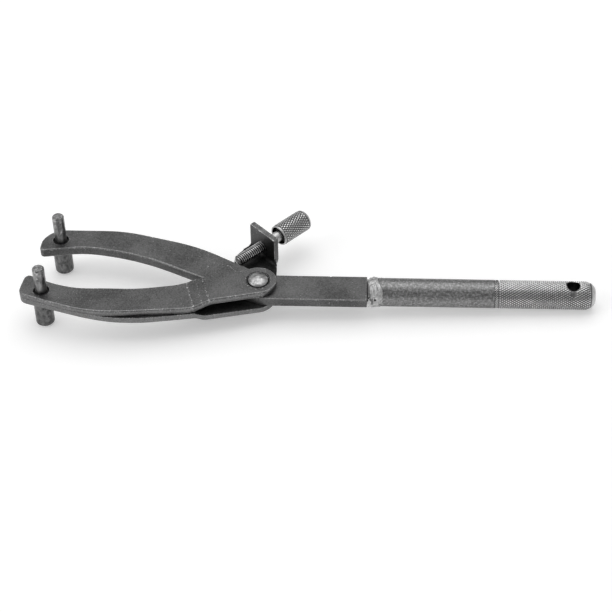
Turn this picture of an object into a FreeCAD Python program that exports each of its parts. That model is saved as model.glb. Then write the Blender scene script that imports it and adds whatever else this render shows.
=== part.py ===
import FreeCAD, Part
import os
import Sketcher
from FreeCAD import Placement, Rotation, Vector

# Adjustable two-pin holding wrench, in millimetres.
# The sizes below are measured from the pivot: the rivet's axis is x = 0, y = 0 and the bar's mid-plane
# is z = 0. X runs along the handle, away from the jaws, and Y runs from the moving jaw to the fixed one.
# Every finished piece is then set down with the hang hole's centre at the frame's origin.

SIZES = {
    # flat bar: the shank, and the fixed jaw at its end
    "bar_thickness": 5.6,
    "shank_width": 18.4,
    "shank_middle": -1.6,
    "shank_length": 59.3,
    "outer_root_x": 2.7,
    "outer_root_round": 5.0,
    "outer_elbow_x": -35.5,
    "outer_elbow_y": 29.8,
    "outer_elbow_round": 103.0,
    "outer_crown_x": -76.9,
    "outer_crown_round": 77.0,
    "fixed_tip_round": 13.4,
    "fixed_tip_corner": 2.3,
    "inner_nose_x": -98.3,
    "inner_nose_y": 27.9,
    "inner_nose_round": 57.0,
    "inner_elbow_x": -68.1,
    "inner_elbow_y": 22.9,
    "inner_elbow_round": 134.0,
    "inner_root_x": 0.8,
    "inner_root_round": 31.0,
    # the two stamped leaves of the moving jaw
    "leaf_thickness": 3.3,
    "leaf_clearance": 0.1,
    "tip_gap": 0.1,
    "arm_gap": 0.8,
    "arm_gap_start": -96.0,
    "arm_gap_end": -82.6,
    "fold_angle": 16.0,
    "fold_foot": -37.6,
    "upper_fold_run": 9.7,
    "lower_fold_run": 5.0,
    "fold_round": 8.0,
    "moving_tip_round": 2.5,
    "moving_heel_round": 5.2,
    "moving_nose_x": -104.5,
    "moving_nose_y": -5.8,
    "moving_nose_round": 62.0,
    "moving_waist_x": -65.0,
    "moving_waist_round": 93.0,
    "moving_knee_x": -45.4,
    "moving_knee_y": -2.5,
    "moving_knee_round": 25.0,
    "crotch_x": -35.7,
    "crotch_y": 0.8,
    "collar_radius": 10.1,
    "collar_inset": 0.04,
    "collar_far_angle": 107.5,
    "collar_near_angle": -76.7,
    "upper_belly_x": -88.7,
    "upper_belly_y": -25.1,
    "upper_belly_round": 86.0,
    "upper_rise_x": -36.7,
    "upper_rise_y": -20.5,
    "upper_rise_round": 18.5,
    "upper_shoulder_x": -25.3,
    "upper_shoulder_y": -16.2,
    "upper_shoulder_round": 26.0,
    "notch_x": -12.0,
    "notch_y": 6.2,
    "notch_round": 3.1,
    "pad_nose_x": -16.3,
    "pad_nose_y": 11.4,
    "pad_left_x": -27.9,
    "pad_left_y": 13.8,
    "pad_foot_x": -29.4,
    "pad_foot_y": 1.7,
    "pad_round": 2.7,
    "lower_belly_x": -76.8,
    "lower_belly_y": -27.2,
    "lower_belly_round": 98.0,
    "lower_rise_x": -35.6,
    "lower_rise_y": -20.8,
    "lower_near_y": -10.8,
    "lower_near_round": 10.3,
    "lower_right_x": 9.2,
    "tongue_x": -14.6,
    "tongue_y": 27.8,
    "tongue_round": 9.0,
    "tongue_foot_round": 3.0,
    # the ear that is bent up from the lower leaf and carries the screw
    "ear_angle": 45.0,
    "ear_distance": 21.9,
    "ear_right": 10.9,
    "ear_left": 30.8,
    "ear_top": 13.4,
    "ear_bend": 1.9,
    "ear_corner": 0.6,
    "ear_overlap": 3.1,
    "ear_left_flare": 0.6,
    # rivet
    "rivet_radius": 5.2,
    "rivet_clearance": 0.06,
    "recess_radius": 6.7,
    "recess_depth": 0.8,
    "rim_radius": 6.3,
    "rim_clearance": 0.05,
    "rim_inner": 5.7,
    "dome_radius": 4.8,
    "dome_height": 2.1,
    "dome_round": 1.9,
    "rim_groove": 0.3,
    # the stepped pins
    "fixed_pin_x": -112.1,
    "fixed_pin_y": 33.3,
    "moving_pin_x": -117.6,
    "moving_pin_y": -7.8,
    "pin_radius": 3.3,
    "pin_height": 23.3,
    "pin_chamfer": 0.8,
    "stub_radius": 5.15,
    "stub_height": 16.9,
    "stub_chamfer": 1.0,
    "seat_radius": 4.4,
    "seat_clearance": 0.02,
    "seat_step": 1.5,
    "fixed_tip_reach": 10.9,
    "fixed_tip_outer": 8.0,
    "fixed_tip_inner": 9.1,
    "moving_tip_reach": 9.7,
    "moving_tip_inner": 12.4,
    "moving_heel_reach": 13.0,
    "moving_heel_outer": 2.7,
    # adjusting screw and its knob
    "screw_radius": 3.175,
    "screw_clearance": 0.05,
    "screw_height": 3.4,
    "screw_side": 20.8,
    "screw_reach": 18.2,
    "screw_tip_chamfer": 0.5,
    "knob_standoff": 9.1,
    "knob_length": 20.6,
    "knob_radius": 6.1,
    "knob_chamfer": 1.2,
    "knob_lip": 0.6,
    "knob_recess_radius": 4.8,
    "knob_recess_depth": 3.1,
    "knob_cap": 3.1,
    "knob_clearance": 0.03,
    # round handle and its weld
    "rod_radius": 7.75,
    "rod_middle": -1.3,
    "handle_length": 119.8,
    "rod_chamfer": 2.3,
    "hang_hole_inset": 12.2,
    "hang_hole_radius": 3.6,
    "weld_root": 3.7,
    "weld_run": 4.3,
    "weld_crown": 0.7,
    "weld_bar_lip": 2.9,
    "weld_feather": 0.2,
}

ROD_START = "( shank_length + weld_root )"
ROD_END = "( shank_length + weld_root + handle_length )"
HANG_HOLE_X = "( shank_length + weld_root + handle_length - hang_hole_inset )"
NEAR = 1e-5  # two places closer than this are the same place

doc = FreeCAD.newDocument("pin_wrench")
sheet = doc.addObject("Spreadsheet::Sheet", "Sheet")
for row, (alias, size) in enumerate(SIZES.items(), start=1):
    sheet.set("A" + str(row), alias)
    sheet.set("B" + str(row), str(size))
    sheet.setAlias("B" + str(row), alias)
doc.recompute()


def formula(words):
    """Write 'bar_thickness / 2' as the sheet's 'Sheet.bar_thickness / 2'."""
    return " ".join("Sheet." + word if word in SIZES else word for word in words.split())


def number(words):
    return float(sheet.evalExpression(formula(words)))


def new_body(name):
    return doc.addObject("PartDesign::Body", name)


def origin_plane(body, role):
    return next(item for item in body.Origin.OriginFeatures if item.Role == role)


def corner_sketch(body, name, corners, role="XY_Plane", turn=0.0):
    """Closed outline through corners, each a pair of formulas for the sketch's own x and y."""
    sketch = body.newObject("Sketcher::SketchObject", name)
    sketch.AttachmentSupport = [(origin_plane(body, role), "")]
    sketch.MapMode = "FlatFace"
    if turn:
        sketch.AttachmentOffset = Placement(Vector(), Rotation(Vector(0, 1, 0), turn))
    points = [Vector(number(across), number(along), 0) for across, along in corners]
    count = len(points)
    for index in range(count):
        sketch.addGeometry(Part.LineSegment(points[index], points[(index + 1) % count]))
    for index in range(count):
        sketch.addConstraint(Sketcher.Constraint("Coincident", index, 2, (index + 1) % count, 1))
    for index, pair in enumerate(corners):
        for kind, letter, words, place in zip(("DistanceX", "DistanceY"), "xy", pair, points[index]):
            label = "corner" + str(index) + letter
            constraint = sketch.addConstraint(Sketcher.Constraint(kind, index, 1, place))
            sketch.renameConstraint(constraint, label)
            sketch.setExpression("Constraints." + label, formula(words))
    doc.recompute()
    return sketch


def circle_sketch(body, name, across, along, radius, role="XY_Plane"):
    sketch = body.newObject("Sketcher::SketchObject", name)
    sketch.AttachmentSupport = [(origin_plane(body, role), "")]
    sketch.MapMode = "FlatFace"
    centre = Vector(number(across), number(along), 0)
    sketch.addGeometry(Part.Circle(centre, Vector(0, 0, 1), number(radius)))
    sizes = (("DistanceX", across, (0, 3, centre.x)), ("DistanceY", along, (0, 3, centre.y)),
             ("Radius", radius, (0, number(radius))))
    for kind, words, target in sizes:
        constraint = sketch.addConstraint(Sketcher.Constraint(kind, *target))
        sketch.renameConstraint(constraint, kind + "Size")
        sketch.setExpression("Constraints." + kind + "Size", formula(words))
    doc.recompute()
    return sketch


def pad(body, name, sketch, length, middle=True):
    feature = body.newObject("PartDesign::Pad", name)
    feature.Profile = sketch
    feature.Midplane = middle
    feature.setExpression("Length", formula(length))
    doc.recompute()
    return feature


def bore(body, name, across, along, radius, role="XY_Plane"):
    """Round hole right through the body, square to one of its planes."""
    before = body.Shape.Volume
    feature = body.newObject("PartDesign::Pocket", name)
    feature.Profile = circle_sketch(body, name + "_circle", across, along, radius, role)
    feature.Midplane = True
    feature.Type = "ThroughAll"
    doc.recompute()
    if body.Shape.Volume > before - 1:
        raise ValueError(name + " cuts nothing")
    return feature


def upright_edge(shape, x, y):
    """Name of the edge that stands along Z over the point x, y."""
    for index, edge in enumerate(shape.Edges, start=1):
        places = [vertex.Point for vertex in edge.Vertexes]
        over = [abs(place.x - x) < NEAR and abs(place.y - y) < NEAR for place in places]
        if len(places) == 2 and all(over):
            return "Edge" + str(index)
    raise ValueError("no upright edge at %.3f, %.3f" % (x, y))


def round_corner(body, name, corner, radius):
    """Round the plate's upright corner, given by the pair of formulas that placed it."""
    base = body.Tip
    feature = body.newObject("PartDesign::Fillet", name)
    feature.Base = (base, [upright_edge(base.Shape, number(corner[0]), number(corner[1]))])
    feature.setExpression("Radius", formula(radius))
    doc.recompute()
    return feature


def plate(name, corners, rounds, length):
    """Flat plate, centred on z = 0, with some of its corners rounded."""
    body = new_body(name)
    pad(body, name + "_pad", corner_sketch(body, name + "_outline", list(corners.values())), length)
    for corner, radius in rounds.items():
        round_corner(body, name + "_" + corner, corners[corner], radius)
    return body


def turned(name, corners, role="XZ_Plane", axis="V_Axis"):
    """Body of revolution: corners give the half section."""
    body = new_body(name)
    sketch = corner_sketch(body, name + "_section", corners, role)
    feature = body.newObject("PartDesign::Revolution", name + "_turning")
    feature.Profile = sketch
    feature.ReferenceAxis = (sketch, [axis])
    feature.Angle = 360
    doc.recompute()
    return body


def boolean(kind, name, first, second):
    feature = doc.addObject("Part::" + kind, name)
    feature.Base = first
    feature.Tool = second
    doc.recompute()
    return feature


def set_down(piece, label, x="0", y="0", z="0", turn="0"):
    """Name a finished piece and place it in the frame whose origin is the hang hole's centre."""
    piece.Label = label
    piece.Placement = Placement(Vector(), Rotation(Vector(0, 0, 1), number(turn)))
    piece.setExpression("Placement.Base.x", formula(x + " - " + HANG_HOLE_X))
    piece.setExpression("Placement.Base.y", formula(y + " - rod_middle"))
    piece.setExpression("Placement.Base.z", formula(z))
    if turn != "0":
        piece.setExpression("Placement.Rotation.Angle", formula(turn))
    doc.recompute()
    return piece


# fixed jaw: one flat bar, straight as the shank and curved beyond the pivot
def make_shank_jaw():
    far_side = "shank_middle + shank_width / 2"
    near_side = "shank_middle - shank_width / 2"
    tip = "fixed_pin_x - fixed_tip_reach"
    crown = "fixed_pin_y + fixed_tip_outer"
    corners = {
        "far_end": ("shank_length", far_side),
        "outer_root": ("outer_root_x", far_side),
        "outer_elbow": ("outer_elbow_x", "outer_elbow_y"),
        "outer_crown": ("outer_crown_x", crown),
        "outer_tip": (tip, crown),
        "inner_tip": (tip, "fixed_pin_y - fixed_tip_inner"),
        "inner_nose": ("inner_nose_x", "inner_nose_y"),
        "inner_elbow": ("inner_elbow_x", "inner_elbow_y"),
        "inner_root": ("inner_root_x", near_side),
        "near_end": ("shank_length", near_side),
    }
    rounds = {
        "outer_root": "outer_root_round",
        "outer_elbow": "outer_elbow_round",
        "outer_crown": "outer_crown_round",
        "outer_tip": "fixed_tip_round",
        "inner_tip": "fixed_tip_corner",
        "inner_nose": "inner_nose_round",
        "inner_elbow": "inner_elbow_round",
        "inner_root": "inner_root_round",
    }
    body = plate("bar", corners, rounds, "bar_thickness")
    bore(body, "rivet_hole", "0", "0", "rivet_radius + seat_clearance")
    bore(body, "fixed_pin_hole", "fixed_pin_x", "fixed_pin_y", "seat_radius")
    return set_down(body, "shank_jaw")


# inner edge of the moving jaw, shared by both leaves
MOVING_TIP = {
    "tip": ("moving_pin_x - moving_tip_reach", "moving_pin_y + moving_tip_inner"),
    "nose": ("moving_nose_x", "moving_nose_y"),
    "waist": ("moving_waist_x", "moving_nose_y"),
    "knee": ("moving_knee_x", "moving_knee_y"),
    "crotch": ("crotch_x", "crotch_y"),
    "pad_foot": ("pad_foot_x", "pad_foot_y"),
    "pad_left": ("pad_left_x", "pad_left_y"),
}
MOVING_HEEL = ("moving_pin_x - moving_heel_reach", "moving_pin_y - moving_heel_outer")
MOVING_ROUNDS = {
    "tip": "moving_tip_round",
    "nose": "moving_nose_round",
    "waist": "moving_waist_round",
    "knee": "moving_knee_round",
    "pad_left": "pad_round",
    "heel": "moving_heel_round",
}


def long_edge(shape, along, level, turn):
    """Name of the strip's straight edge over the given place along the jaw, at the given height."""
    place = Rotation(Vector(0, 0, 1), turn).multVec(Vector(along, 0, level))
    direction = Rotation(Vector(0, 0, 1), turn).multVec(Vector(0, 1, 0))
    for index, edge in enumerate(shape.Edges, start=1):
        gaps = [(vertex.Point - place).cross(direction).Length for vertex in edge.Vertexes]
        if len(gaps) == 2 and max(gaps) < NEAR:
            return "Edge" + str(index)
    raise ValueError("no fold edge at %.3f, %.3f" % (along, level))


def round_fold(body, name, along, level):
    base = body.Tip
    feature = body.newObject("PartDesign::Fillet", name)
    edge = long_edge(base.Shape, number(along), number(level), number("fold_angle"))
    feature.Base = (base, [edge])
    feature.setExpression("Radius", formula("fold_round"))
    doc.recompute()


def folded_strip(name, side, run):
    """Strip of sheet, flat beside the bar at the pivot and stepped to the mid-plane along the jaw."""
    body = new_body(name)
    seat = "bar_thickness / 2 + leaf_clearance"
    stations = (
        ("ear_distance + ear_left", seat),
        ("fold_foot + " + run, seat),
        ("fold_foot", "arm_gap / 2"),
        ("arm_gap_end", "arm_gap / 2"),
        ("arm_gap_start", "tip_gap / 2"),
        ("moving_pin_x - 2 * moving_heel_reach", "tip_gap / 2"),
    )
    inner = [(along, side + " ( " + rise + " )") for along, rise in stations]
    outer = [(along, side + " ( " + rise + " + leaf_thickness )") for along, rise in reversed(stations)]
    turn = number("fold_angle")
    sketch = corner_sketch(body, name + "_fold", inner + outer, "XZ_Plane", turn)
    pad(body, name + "_pad", sketch, "2 * ( ear_distance + ear_left )")
    for fold, (along, rise) in zip(("top_fold", "foot_fold"), stations[1:3]):
        for face, depth in (("inner", "0"), ("outer", "leaf_thickness")):
            level = side + " ( " + rise + " + " + depth + " )"
            round_fold(body, name + "_" + fold + "_" + face, along, level)
    return body


def make_leaf(name, side, run, corners, rounds):
    """Common volume of the stepped strip and the leaf's flat outline."""
    blank_height = "4 * ( bar_thickness + leaf_thickness )"
    outline = plate(name + "_blank", corners, rounds, blank_height)
    if side == "":
        collar = circle_sketch(outline, name + "_collar_edge", "0", "0", "collar_radius")
        pad(outline, name + "_collar", collar, blank_height)
    bore(outline, name + "_pivot_hole", "0", "0", "rivet_radius + rivet_clearance")
    bore(outline, name + "_pin_hole", "moving_pin_x", "moving_pin_y", "seat_radius")
    leaf = boolean("Common", name + "_leaf", folded_strip(name + "_strip", side, run), outline)
    recess = doc.addObject("Part::Cylinder", name + "_recess")
    recess.setExpression("Radius", formula("recess_radius"))
    recess.setExpression("Height", formula("leaf_thickness"))
    floor = "bar_thickness / 2 + leaf_clearance + leaf_thickness - recess_depth"
    if side == "-":
        floor = "-1 * ( " + floor + " + leaf_thickness )"
    recess.setExpression("Placement.Base.z", formula(floor))
    doc.recompute()
    return boolean("Cut", name + "_recessed", leaf, recess)


def collar_point(angle):
    """Where the upper leaf's outline meets the round collar about the rivet."""
    reach = "( collar_radius - collar_inset )"
    return reach + " * cos( " + angle + " * 1 deg )", reach + " * sin( " + angle + " * 1 deg )"


def make_upper_leaf():
    corners = {
        "collar_far": collar_point("collar_far_angle"),
        "notch": ("notch_x", "notch_y"),
        "pad_nose": ("pad_nose_x", "pad_nose_y"),
        **dict(reversed(MOVING_TIP.items())),
        "heel": MOVING_HEEL,
        "belly": ("upper_belly_x", "upper_belly_y"),
        "rise": ("upper_rise_x", "upper_rise_y"),
        "shoulder": ("upper_shoulder_x", "upper_shoulder_y"),
        "collar_near": collar_point("collar_near_angle"),
    }
    rounds = {
        **MOVING_ROUNDS,
        "belly": "upper_belly_round",
        "rise": "upper_rise_round",
        "shoulder": "upper_shoulder_round",
        "notch": "notch_round",
        "pad_nose": "pad_round",
    }
    return set_down(make_leaf("upper", "", "upper_fold_run", corners, rounds), "upper_jaw_leaf")


def ear_point(out, left):
    """Plan position of a point that lies out from the pivot, square to the ear, and left along it."""
    x = out + " * cos( ear_angle * 1 deg ) - " + left + " * sin( ear_angle * 1 deg )"
    y = out + " * sin( ear_angle * 1 deg ) + " + left + " * cos( ear_angle * 1 deg )"
    return x, y


def bend_edge(shape, out, height):
    """Name of the long straight edge that runs along Y at the given X and Z."""
    for index, edge in enumerate(shape.Edges, start=1):
        places = [vertex.Point for vertex in edge.Vertexes]
        if len(places) == 2 and all(abs(p.x - out) < NEAR and abs(p.z - height) < NEAR for p in places):
            return "Edge" + str(index)
    raise ValueError("no bend edge at %.3f, %.3f" % (out, height))


def round_bend(body, name, out, height, radius):
    base = body.Tip
    feature = body.newObject("PartDesign::Fillet", name)
    feature.Base = (base, [bend_edge(base.Shape, number(out), number(height))])
    feature.setExpression("Radius", formula(radius))
    doc.recompute()


LEAF_FLOOR = "-1 * ( bar_thickness / 2 + leaf_clearance )"
LEAF_UNDERSIDE = "-1 * ( bar_thickness / 2 + leaf_clearance + leaf_thickness )"


def make_ear():
    """The leaf's end, bent up square: X points out from the pivot and Y runs to the left along the ear."""
    body = new_body("ear")
    back = "ear_distance + leaf_thickness"
    start = "ear_distance - ear_bend - ear_overlap"
    section = [(start, LEAF_UNDERSIDE), (back, LEAF_UNDERSIDE), (back, "ear_top"),
               ("ear_distance", "ear_top"), ("ear_distance", LEAF_FLOOR), (start, LEAF_FLOOR)]
    blank_width = "2 * ( ear_left + ear_left_flare + leaf_thickness )"
    pad(body, "ear_pad", corner_sketch(body, "ear_section", section, "XZ_Plane"), blank_width)
    round_bend(body, "ear_inner_bend", "ear_distance", LEAF_FLOOR, "ear_bend")
    round_bend(body, "ear_outer_bend", back, LEAF_UNDERSIDE, "ear_bend + leaf_thickness")
    return body


def right_edge_left(out):
    """How far to the left the leaf's straight right edge lies, at a distance out from the pivot."""
    return out + " / tan( ear_angle * 1 deg ) - lower_right_x / sin( ear_angle * 1 deg )"


def make_ear_face():
    """Upright outline of the ear, seen square on; its foot widens to meet the leaf."""
    body = new_body("ear_face")
    left_foot = "ear_left + ear_left_flare"
    right_foot = right_edge_left("( ear_distance - ear_bend )")
    corners = [("ear_right", "ear_top"), ("ear_left", "ear_top"), ("ear_left", LEAF_FLOOR + " + ear_bend"),
               (left_foot, LEAF_FLOOR), (left_foot, LEAF_UNDERSIDE), (right_foot, LEAF_UNDERSIDE),
               (right_foot, LEAF_FLOOR), ("ear_right", LEAF_FLOOR + " + ear_bend")]
    sketch = corner_sketch(body, "ear_outline", corners, "YZ_Plane")
    pad(body, "ear_face_pad", sketch, "2 * ( ear_distance + 2 * leaf_thickness )")
    for name, side in (("ear_right_corner", "ear_right"), ("ear_left_corner", "ear_left")):
        base = body.Tip
        feature = body.newObject("PartDesign::Fillet", name)
        feature.Base = (base, [level_edge(base.Shape, number(side), number("ear_top"))])
        feature.setExpression("Radius", formula("ear_corner"))
        doc.recompute()
    bore(body, "screw_hole", "screw_side", "screw_height", "screw_radius + screw_clearance", "YZ_Plane")
    return body


def make_ear_plan():
    """Outline of the ear from above: the leaf's straight right edge runs on through the bend."""
    body = new_body("ear_plan")
    start = "( ear_distance - ear_bend - ear_overlap )"
    meeting = "( ( ear_right + lower_right_x / sin( ear_angle * 1 deg ) ) * tan( ear_angle * 1 deg ) )"
    back = "ear_distance + 2 * leaf_thickness"
    far_left = "ear_left + ear_left_flare + leaf_thickness"
    corners = [(start, right_edge_left(start)), (meeting, "ear_right"), (back, "ear_right"),
               (back, far_left), (start, far_left)]
    pad(body, "ear_plan_pad", corner_sketch(body, "ear_plan_outline", corners), "4 * ear_top")
    return body


def level_edge(shape, left, height):
    """Name of the edge that runs along X at the given Y and Z."""
    for index, edge in enumerate(shape.Edges, start=1):
        places = [vertex.Point for vertex in edge.Vertexes]
        if len(places) == 2 and all(abs(p.y - left) < NEAR and abs(p.z - height) < NEAR for p in places):
            return "Edge" + str(index)
    raise ValueError("no level edge at %.3f, %.3f" % (left, height))


def make_lower_leaf():
    bend_start = "( ear_distance - ear_bend )"
    right_end = bend_start + " / sin( ear_angle * 1 deg ) - lower_right_x / tan( ear_angle * 1 deg )"
    corners = {
        "near": ("lower_right_x", "lower_near_y"),
        "right": ("lower_right_x", right_end),
        "left": ear_point(bend_start, "( ear_left + ear_left_flare )"),
        "tongue": ("tongue_x", "tongue_y"),
        "tongue_foot": ("tongue_x", "pad_nose_y"),
        **dict(reversed(MOVING_TIP.items())),
        "heel": MOVING_HEEL,
        "belly": ("lower_belly_x", "lower_belly_y"),
        "rise": ("lower_rise_x", "lower_rise_y"),
    }
    rounds = {
        **MOVING_ROUNDS,
        "belly": "lower_belly_round",
        "near": "lower_near_round",
        "tongue": "tongue_round",
        "tongue_foot": "tongue_foot_round",
    }
    leaf = make_leaf("lower", "-", "lower_fold_run", corners, rounds)
    ear = boolean("Common", "ear_faced", make_ear(), make_ear_face())
    ear = boolean("Common", "ear_trimmed", ear, make_ear_plan())
    ear.Placement = Placement(Vector(), Rotation(Vector(0, 0, 1), number("ear_angle")))
    ear.setExpression("Placement.Rotation.Angle", formula("ear_angle"))
    doc.recompute()
    return set_down(boolean("Fuse", "lower_fused", leaf, ear), "lower_jaw_leaf")


def make_rivet():
    """Solid rivet with the same formed head on both sides: a thin rim in the leaf's recess and a dome."""
    leaf_face = "bar_thickness / 2 + leaf_clearance + leaf_thickness"
    rim_seat = leaf_face + " - recess_depth + rim_clearance"
    half = [("rivet_radius", rim_seat), ("rim_radius", rim_seat), ("rim_radius", leaf_face),
            ("rim_inner", leaf_face), ("dome_radius", leaf_face + " - rim_groove"),
            ("dome_radius", leaf_face + " + dome_height"), ("0", leaf_face + " + dome_height")]
    lower_half = [(radius, "-1 * ( " + height + " )") for radius, height in reversed(half)]
    body = turned("rivet", lower_half + half)
    for name, height in (("upper_dome", half[-1][1]), ("lower_dome", lower_half[0][1])):
        base = body.Tip
        feature = body.newObject("PartDesign::Fillet", name)
        feature.Base = (base, [ring_edge(base.Shape, number("dome_radius"), number(height))])
        feature.setExpression("Radius", formula("dome_round"))
        doc.recompute()
    return set_down(body, "pivot_rivet")


def ring_edge(shape, radius, height):
    """Name of the full circle about Z with the given radius and height."""
    for index, edge in enumerate(shape.Edges, start=1):
        place = edge.Vertexes[0].Point
        flat = edge.BoundBox.ZLength < NEAR and abs(edge.CenterOfMass.z - height) < NEAR
        if flat and abs(Vector(place.x, place.y, 0).Length - radius) < NEAR:
            return "Edge" + str(index)
    raise ValueError("no ring edge at %.3f, %.3f" % (radius, height))


def make_pin(label, x, y, face):
    """Stepped pin: thin end above the jaw, thick end below, and a seat that stops short of the top."""
    shoulder = "-1 * ( " + face + " )"
    tail = shoulder + " - stub_height"
    top = shoulder + " + pin_height"
    corners = [("0", tail), ("stub_radius - stub_chamfer", tail), ("stub_radius", tail + " + stub_chamfer"),
               ("stub_radius", shoulder), ("seat_radius - seat_clearance", shoulder),
               ("seat_radius - seat_clearance", face + " - seat_step"),
               ("pin_radius", face + " - seat_step"), ("pin_radius", top + " - pin_chamfer"),
               ("pin_radius - pin_chamfer", top), ("0", top)]
    return set_down(turned(label + "_body", corners), label, x, y)


KNOB_FRONT = "ear_distance + leaf_thickness + knob_standoff"
KNOB_BACK = KNOB_FRONT + " + knob_length"


def make_screw():
    tip = "ear_distance - screw_reach"
    end = KNOB_BACK + " - knob_cap - rim_clearance"
    corners = [(tip, "0"), (end, "0"), (end, "screw_radius"),
               (tip + " + screw_tip_chamfer", "screw_radius"),
               (tip, "screw_radius - screw_tip_chamfer")]
    return turned("screw", corners, "XY_Plane", "H_Axis")


def make_knob():
    """Knob with a recess round the screw's neck and a blind bore that the screw's end fills."""
    recess = KNOB_FRONT + " + knob_recess_depth"
    bore_end = KNOB_BACK + " - knob_cap"
    corners = [(KNOB_FRONT, "knob_recess_radius"), (KNOB_FRONT, "knob_radius - knob_lip"),
               (KNOB_FRONT + " + knob_lip", "knob_radius"), (KNOB_BACK + " - knob_chamfer", "knob_radius"),
               (KNOB_BACK, "knob_radius - knob_chamfer"), (KNOB_BACK, "0"), (bore_end, "0"),
               (bore_end, "screw_radius + knob_clearance"), (recess, "screw_radius + knob_clearance"),
               (recess, "knob_recess_radius")]
    return turned("knob", corners, "XY_Plane", "H_Axis")


def make_rod():
    corners = [(ROD_START, "0"), (ROD_END, "0"), (ROD_END, "rod_radius - rod_chamfer"),
               (ROD_END + " - rod_chamfer", "rod_radius"), (ROD_START, "rod_radius")]
    body = turned("rod", corners, "XY_Plane", "H_Axis")
    bore(body, "hang_hole", HANG_HOLE_X, "0", "hang_hole_radius")
    return set_down(body, "handle_rod", y="rod_middle")


def make_weld():
    """Bead that grows from the bar's flat end into a collar round the rod."""
    bead_end = ROD_START + " + weld_run"
    crown = "shank_width / 2 + weld_crown"
    feather = "rod_radius + weld_feather"
    bead = turned("weld_bead_form", [("shank_length", "0"), (bead_end, "0"), (bead_end, feather),
                                     (ROD_START, crown), ("shank_length", crown)], "XY_Plane", "H_Axis")
    side = [("shank_length", "bar_thickness / 2 + weld_bar_lip"), (ROD_START, "rod_radius + weld_crown"),
            (bead_end, "rod_radius + weld_crown")]
    lower_side = [(along, "-1 * ( " + height + " )") for along, height in reversed(side)]
    flanks = new_body("weld_flanks")
    pad(flanks, "weld_flanks_pad", corner_sketch(flanks, "weld_side", side + lower_side, "XZ_Plane"),
        "2 * ( shank_width + weld_crown )")
    socket = doc.addObject("Part::Cylinder", "weld_socket")
    socket.Placement = Placement(Vector(), Rotation(Vector(0, 1, 0), 90))
    socket.setExpression("Radius", formula("rod_radius"))
    socket.setExpression("Height", formula("handle_length"))
    socket.setExpression("Placement.Base.x", formula(ROD_START))
    doc.recompute()
    formed = boolean("Common", "weld_formed", bead, flanks)
    return set_down(boolean("Cut", "weld", formed, socket), "weld_bead", y="rod_middle")


def on_screw_axis(piece, label):
    x, y = ear_point("0", "screw_side")
    return set_down(piece, label, x, y, "screw_height", "ear_angle")


PIECES = [
    make_shank_jaw(),
    make_rod(),
    make_weld(),
    make_rivet(),
    make_pin("fixed_jaw_pin", "fixed_pin_x", "fixed_pin_y", "bar_thickness / 2"),
    make_upper_leaf(),
    make_lower_leaf(),
    make_pin("moving_jaw_pin", "moving_pin_x", "moving_pin_y", "tip_gap / 2 + leaf_thickness"),
    on_screw_axis(make_screw(), "adjusting_screw"),
    on_screw_axis(make_knob(), "screw_knob"),
]

failed = [item.Name for item in doc.Objects if "Invalid" in item.State or "Error" in item.State]
if failed:
    raise ValueError("failed objects: " + ", ".join(failed))
os.makedirs("parts", exist_ok=True)
for piece in PIECES:
    if piece.Shape.isNull() or not piece.Shape.isValid():
        raise ValueError(piece.Label + " has no valid shape")
    piece.Shape.exportStep(os.path.join("parts", piece.Label + ".step"))
    print(piece.Label, round(piece.Shape.Volume, 1), piece.Shape.BoundBox)
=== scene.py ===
import math

import bmesh
import bpy
from mathutils import Matrix, Vector


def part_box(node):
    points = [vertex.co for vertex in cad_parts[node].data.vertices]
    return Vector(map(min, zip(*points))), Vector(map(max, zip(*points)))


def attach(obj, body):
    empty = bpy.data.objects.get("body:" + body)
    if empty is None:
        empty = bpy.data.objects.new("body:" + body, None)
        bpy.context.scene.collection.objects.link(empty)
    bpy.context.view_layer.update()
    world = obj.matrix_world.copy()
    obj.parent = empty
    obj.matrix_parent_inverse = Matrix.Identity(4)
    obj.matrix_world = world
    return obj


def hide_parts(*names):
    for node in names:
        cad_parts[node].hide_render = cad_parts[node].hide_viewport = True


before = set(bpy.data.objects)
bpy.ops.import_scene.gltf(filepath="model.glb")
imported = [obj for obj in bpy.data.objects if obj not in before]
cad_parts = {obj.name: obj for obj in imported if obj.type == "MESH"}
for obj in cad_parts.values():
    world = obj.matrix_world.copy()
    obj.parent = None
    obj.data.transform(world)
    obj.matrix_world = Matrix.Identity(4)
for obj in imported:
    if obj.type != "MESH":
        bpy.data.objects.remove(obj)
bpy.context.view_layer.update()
mm = 0.001
hairWidth = 0.01 * mm  # places closer than this count as one

# the camera, fitted to the tool's own holes and edges
cameraView = {
    "place": (-0.116475, -0.706640, 0.690218),
    "right": (0.999444, 0.032520, -0.007299),
    "up": (-0.017732, 0.704278, 0.709703),
    "lens": 106.72,
    "farthest": 50,
}


def makeCamera():
    right, up = Vector(cameraView["right"]), Vector(cameraView["up"])
    turn = Matrix((right, up, right.cross(up))).transposed()
    camera = bpy.data.objects.new("camera", bpy.data.cameras.new("camera"))
    bpy.context.collection.objects.link(camera)
    camera.matrix_world = Matrix.Translation(cameraView["place"]) @ turn.to_4x4()
    camera.data.lens = cameraView["lens"]
    camera.data.clip_end = cameraView["farthest"]
    bpy.context.scene.camera = camera


makeCamera()
print("camera placed")


# selecting, editing and joining, as by hand
def deselectAll():
    bpy.ops.object.select_all(action="DESELECT")


def workOn(piece):
    deselectAll()
    bpy.context.view_layer.objects.active = piece
    piece.select_set(True)


def startEdit(piece, kind="FACE"):
    workOn(piece)
    bpy.ops.object.mode_set(mode="EDIT")
    bpy.ops.mesh.select_mode(type=kind)
    bpy.ops.mesh.select_all(action="SELECT")


def endEdit():
    bpy.ops.object.mode_set(mode="OBJECT")


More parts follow.
